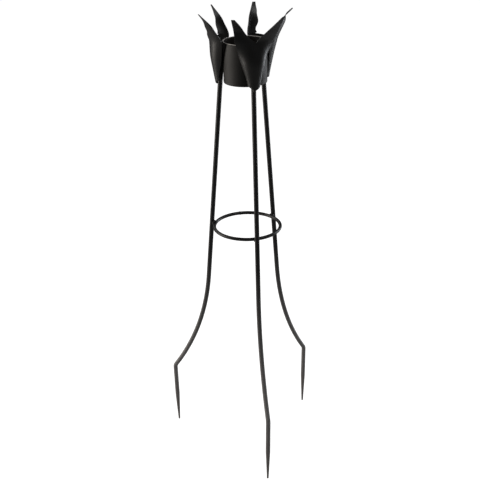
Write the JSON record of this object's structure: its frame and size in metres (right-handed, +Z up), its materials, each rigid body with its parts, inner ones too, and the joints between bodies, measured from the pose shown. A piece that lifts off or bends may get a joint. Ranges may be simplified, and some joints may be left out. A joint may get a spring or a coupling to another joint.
{
  "type": "garden tiki torch",
  "caption": "Slim outdoor torch: bent rods with ground spikes carry a round cup for a wick canister, ringed by curled forked sheet-metal petals.",
  "frame": {"origin": "on the cup's vertical axis, at the level of the three spike tips", "axes": "+Z up along the cup's axis; the front leg is towards -Y, the other two lie towards +X and -X behind it"},
  "size_m": [0.3617, 0.3121, 1.099],
  "materials": {
    "black_powder_coat": "satin black powder coat",
    "cup_coat": "satin brown-black powder coat",
    "weld_bead": "powder coat over a lumpy weld bead",
    "canister_enamel": "gloss black enamel on thin steel",
    "burner_metal": "plain, dulled by heat",
    "gasket_rubber": "matte",
    "wick_fibre": "braided glass fibre, charred at the top",
    "snuffer_metal": "satin black"
  },
  "bodies": {
    "stand": {"leg_front": "black_powder_coat", "leg_right": "black_powder_coat", "leg_left": "black_powder_coat", "brace_ring": "black_powder_coat", "ring_welds": "weld_bead", "cup_wall": "cup_coat", "cup_base": "cup_coat", "cup_welds": "weld_bead", "petal_front": "black_powder_coat", "petal_right": "black_powder_coat", "petal_left": "black_powder_coat", "petal_welds": "weld_bead"},
    "canister": {"canister_body": "canister_enamel", "canister_top": "canister_enamel", "canister_seam": "canister_enamel"},
    "burner": {"burner_gasket": "gasket_rubber", "burner_cap": "burner_metal", "wick_tube": "burner_metal", "wick": "wick_fibre"},
    "snuffer": {"snuffer_cap": "snuffer_metal", "snuffer_knob": "snuffer_metal"}
  },
  "joints": [
    {"name": "canister_lift", "type": "slide", "parent": "stand", "child": "canister", "axis": [0, 0, 1], "range_m": [0, 0.18]},
    {"name": "burner_lift", "type": "slide", "parent": "canister", "child": "burner", "axis": [0, 0, 1], "range_m": [0, 0.08]},
    {"name": "snuffer_lift", "type": "slide", "parent": "burner", "child": "snuffer", "axis": [0, 0, 1], "range_m": [0, 0.04]}
  ]
}
